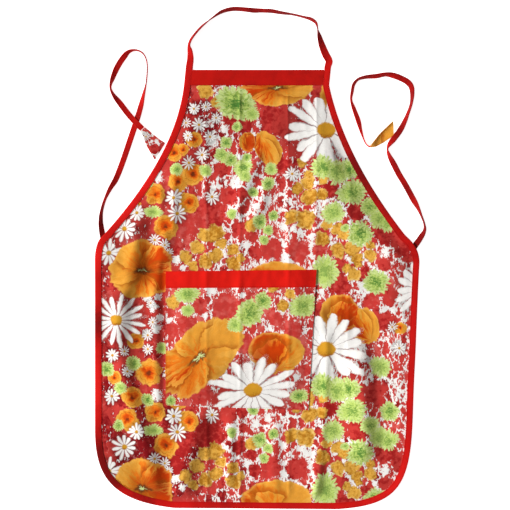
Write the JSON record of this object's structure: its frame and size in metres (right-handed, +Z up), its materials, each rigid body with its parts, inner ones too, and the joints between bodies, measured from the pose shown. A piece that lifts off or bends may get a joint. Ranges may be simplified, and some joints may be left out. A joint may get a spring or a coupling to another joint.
{
  "type": "apron",
  "caption": "Bib apron of printed cotton lying flat, with bound edges, a neck loop, long waist ties and a wide open-topped patch pocket.",
  "frame": {"origin": "on the floor, in the middle of the laid apron's box", "axes": "+Z up off the floor, +Y from the hem towards the neck loop, +X to the right as the picture shows it"},
  "size_m": [0.6129, 0.9295, 0.0165],
  "materials": {
    "printed_cotton": "matte woven cotton with a floral print",
    "pocket_cotton": "matte woven cotton with a floral print",
    "red_tape": "matte folded cotton tape",
    "red_cotton": "matte plain woven cotton"
  },
  "bodies": {
    "root": {"body_panel": "printed_cotton", "edge_binding": "red_tape", "bib_band": "red_cotton", "pocket_panel": "pocket_cotton", "pocket_band": "red_cotton", "neck_strap": "red_tape", "waist_tie_left": "red_tape", "waist_tie_right": "red_tape", "tie_end_left": "printed_cotton", "tie_end_right": "printed_cotton"}
  },
  "joints": []
}
